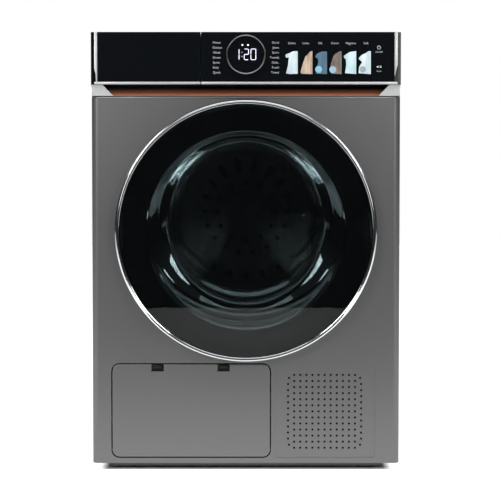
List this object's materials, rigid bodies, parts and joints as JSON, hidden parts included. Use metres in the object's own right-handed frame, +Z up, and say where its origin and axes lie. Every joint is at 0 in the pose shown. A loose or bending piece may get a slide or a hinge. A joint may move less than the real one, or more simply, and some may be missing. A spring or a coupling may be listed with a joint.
{
  "type": "clothes dryer",
  "caption": "Front-loading clothes dryer with a round glass door, pull-out water tank, program ring, service door, belt-driven drum and levelling feet.",
  "frame": {"origin": "on the floor under the middle of the cabinet's box", "axes": "+Z up, +X to the right seen from the front, the front with its door faces -Y"},
  "size_m": [0.595, 0.64, 0.845],
  "materials": {
    "graphite_paint": "satin metallic",
    "black_gloss": "high gloss",
    "dark_plastic": "fine grain",
    "worktop_grey": "fine grain",
    "zinc_steel": "galvanised",
    "stainless": "brushed",
    "bright_chrome": "polished",
    "copper_paint": "satin copper",
    "dark_glass": "tinted gloss",
    "clear_glass": "clear",
    "light_plastic": "smooth",
    "rubber": "matte",
    "felt": "felt",
    "fin_aluminium": "mill",
    "black_enamel": "semi gloss",
    "spring_steel": "plain"
  },
  "bodies": {
    "cabinet": {"front_panel": "graphite_paint", "left_side_panel": "graphite_paint", "right_side_panel": "graphite_paint", "control_fascia": "black_gloss", "display_disc": "black_gloss", "control_housing": "dark_plastic", "base_tray": "dark_plastic", "door_catch": "dark_plastic", "fan_shroud": "dark_plastic", "blower_housing": "dark_plastic", "mains_inlet": "dark_plastic", "drain_spigot": "dark_plastic", "worktop": "worktop_grey", "rear_panel": "zinc_steel", "rear_duct_cover": "zinc_steel", "front_bulkhead": "zinc_steel", "hinge_bracket": "zinc_steel", "cabinet_screws": "zinc_steel", "drum_bearing": "zinc_steel", "panel_bezel": "bright_chrome", "recess_brackets": "bright_chrome", "handle_recess": "copper_paint", "lint_filter": "light_plastic", "drive_belt": "rubber", "drum_front_seal": "felt", "evaporator": "fin_aluminium", "condenser": "fin_aluminium", "compressor": "black_enamel", "motor_housing": "black_enamel"},
    "door": {"door_ring": "bright_chrome", "door_glass": "dark_glass", "door_frame": "dark_plastic", "door_bowl": "clear_glass", "door_gasket": "rubber", "door_striker": "spring_steel", "hinge_pin": "stainless"},
    "water_drawer": {"drawer_front": "black_gloss", "drawer_bezel": "bright_chrome", "water_tank": "light_plastic"},
    "dial": {"program_ring": "bright_chrome"},
    "drum": {"drum_shell": "stainless", "drum_back": "stainless", "lifter_1": "light_plastic", "lifter_2": "light_plastic", "lifter_3": "light_plastic"},
    "motor_rotor": {"motor_shaft": "stainless", "blower_wheel": "dark_plastic"},
    "idler_lever": {"idler_arm": "zinc_steel"},
    "idler_pulley": {"idler_wheel": "dark_plastic"},
    "roller_left": {"left_roller": "rubber"},
    "roller_right": {"right_roller": "rubber"},
    "fan": {"cooling_fan": "dark_plastic"},
    "service_flap": {"service_door": "graphite_paint"},
    "latch_left": {"left_latch": "dark_plastic"},
    "latch_right": {"right_latch": "dark_plastic"},
    "foot_front_left": {"front_left_foot": "rubber"},
    "foot_front_right": {"front_right_foot": "rubber"},
    "foot_rear_left": {"rear_left_foot": "rubber"},
    "foot_rear_right": {"rear_right_foot": "rubber"}
  },
  "joints": [
    {"name": "door_hinge", "type": "hinge", "parent": "cabinet", "child": "door", "pos_m": [0.238, -0.302, 0.464], "axis": [0, 0, 1], "range_deg": [0, 105]},
    {"name": "drawer_slide", "type": "slide", "parent": "cabinet", "child": "water_drawer", "axis": [0, -1, 0], "range_m": [0, 0.42]},
    {"name": "dial_turn", "type": "hinge", "parent": "cabinet", "child": "dial", "pos_m": [0, -0.29, 0.8016], "axis": [0, 1, 0], "continuous": true},
    {"name": "drum_spin", "type": "hinge", "parent": "cabinet", "child": "drum", "pos_m": [0, 0, 0.492], "axis": [0, 1, 0], "continuous": true},
    {"name": "motor_spin", "type": "hinge", "parent": "cabinet", "child": "motor_rotor", "pos_m": [0.15, 0, 0.11], "axis": [0, 1, 0], "continuous": true},
    {"name": "idler_swing", "type": "hinge", "parent": "cabinet", "child": "idler_lever", "pos_m": [0.1, 0, 0.066], "axis": [0, 1, 0], "range_deg": [0, 12], "stiffness_Nm_per_rad": 2, "springref_deg": -11.46},
    {"name": "idler_spin", "type": "hinge", "parent": "idler_lever", "child": "idler_pulley", "pos_m": [0.06, 0, 0.136], "axis": [0, 1, 0], "continuous": true},
    {"name": "left_roller_spin", "type": "hinge", "parent": "cabinet", "child": "roller_left", "pos_m": [-0.15515, 0, 0.22327], "axis": [0, 1, 0], "continuous": true},
    {"name": "right_roller_spin", "type": "hinge", "parent": "cabinet", "child": "roller_right", "pos_m": [0.15515, 0, 0.22327], "axis": [0, 1, 0], "continuous": true},
    {"name": "fan_spin", "type": "hinge", "parent": "cabinet", "child": "fan", "pos_m": [0.1525, 0, 0.1139], "axis": [0, 1, 0], "continuous": true},
    {"name": "service_hinge", "type": "hinge", "parent": "cabinet", "child": "service_flap", "pos_m": [-0.10595, -0.278, 0.0391], "axis": [1, 0, 0], "range_deg": [0, 90]},
    {"name": "left_latch_slide", "type": "slide", "parent": "service_flap", "child": "latch_left", "axis": [0, 0, -1], "range_m": [0, 0.004], "stiffness_N_per_m": 150, "springref_m": -0.004},
    {"name": "right_latch_slide", "type": "slide", "parent": "service_flap", "child": "latch_right", "axis": [0, 0, -1], "range_m": [0, 0.004], "stiffness_N_per_m": 150, "springref_m": -0.004},
    {"name": "front_left_foot_screw", "type": "slide", "parent": "cabinet", "child": "foot_front_left", "axis": [0, 0, -1], "range_m": [0, 0.012]},
    {"name": "front_right_foot_screw", "type": "slide", "parent": "cabinet", "child": "foot_front_right", "axis": [0, 0, -1], "range_m": [0, 0.012]},
    {"name": "rear_left_foot_screw", "type": "slide", "parent": "cabinet", "child": "foot_rear_left", "axis": [0, 0, -1], "range_m": [0, 0.012]},
    {"name": "rear_right_foot_screw", "type": "slide", "parent": "cabinet", "child": "foot_rear_right", "axis": [0, 0, -1], "range_m": [0, 0.012]}
  ],
  "couplings": [
    {"joint": "motor_spin", "follows": "drum_spin", "ratio": 25.454},
    {"joint": "idler_spin", "follows": "drum_spin", "ratio": 14},
    {"joint": "left_roller_spin", "follows": "drum_spin", "ratio": -9.3333},
    {"joint": "right_roller_spin", "follows": "drum_spin", "ratio": -9.3333}
  ]
}
